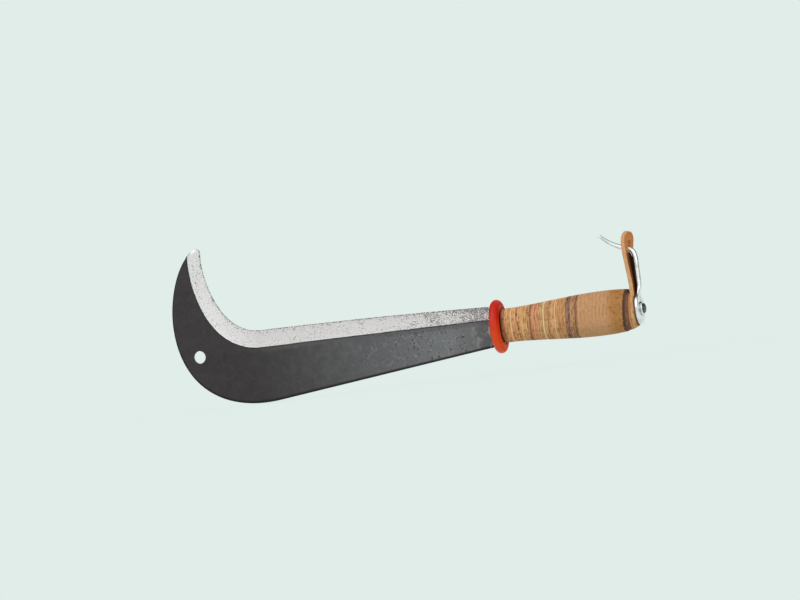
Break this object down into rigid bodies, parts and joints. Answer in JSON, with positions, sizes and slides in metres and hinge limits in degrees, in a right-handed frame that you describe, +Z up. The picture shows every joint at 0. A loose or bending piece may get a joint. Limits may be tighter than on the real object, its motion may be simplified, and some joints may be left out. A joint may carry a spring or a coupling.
{
  "type": "billhook",
  "caption": "Hand billhook with a beaked forged blade, a red oval guard, a grip of stacked leather washers and a belt hook with a leather keeper at the butt.",
  "frame": {"origin": "on the tang axis, where the shoulders of the blade meet the guard", "axes": "+X along the tang towards the butt, +Z up towards the cutting edge, +Y across the blade"},
  "size_m": [0.3996, 0.0396, 0.1332],
  "materials": {
    "forged_steel": "black forging scale with a bright ground bevel",
    "red_plastic": "smooth moulded red",
    "leather_tan": "cut edge of tan leather, rubbed smooth",
    "leather_reddish": "cut edge of reddish leather",
    "leather_pale": "cut edge of pale leather",
    "leather_umber": "cut edge of umber leather",
    "leather_black": "dyed dark leather",
    "leather_brown": "dyed red-brown leather",
    "strap_leather": "orange-brown strap leather",
    "plated_steel": "bright plating"
  },
  "bodies": {
    "tool": {"blade": "forged_steel", "guard": "red_plastic", "front_washer_1": "leather_umber", "front_washer_2": "leather_reddish", "front_washer_3": "leather_tan", "front_washer_4": "leather_reddish", "front_washer_5": "leather_reddish", "front_washer_6": "leather_pale", "front_washer_7": "leather_tan", "front_washer_8": "leather_umber", "front_washer_9": "leather_reddish", "front_washer_10": "leather_reddish", "front_washer_11": "leather_tan", "front_washer_12": "leather_pale", "front_washer_13": "leather_tan", "front_washer_14": "leather_tan", "front_washer_15": "leather_pale", "front_washer_16": "leather_tan", "front_washer_17": "leather_tan", "front_washer_18": "leather_umber", "front_washer_19": "leather_reddish", "front_washer_20": "leather_umber", "rear_washer_1": "leather_tan", "rear_washer_2": "leather_tan", "rear_washer_3": "leather_tan", "rear_washer_4": "leather_tan", "rear_washer_5": "leather_tan", "rear_washer_6": "leather_tan", "rear_washer_7": "leather_tan", "rear_washer_8": "leather_tan", "rear_washer_9": "leather_tan", "rear_washer_10": "leather_tan", "rear_washer_11": "leather_tan", "rear_washer_12": "leather_tan", "dark_washer": "leather_black", "brown_washer": "leather_brown", "strap_base": "strap_leather", "belt_hook": "plated_steel", "burr": "plated_steel"},
    "keeper": {"strap_tongue": "strap_leather"}
  },
  "joints": [
    {"name": "keeper_flex", "type": "hinge", "parent": "tool", "child": "keeper", "pos_m": [0.1193, 0, 0.02], "axis": [0, -1, 0], "range_deg": [-2, 12], "stiffness_Nm_per_rad": 0.05}
  ]
}
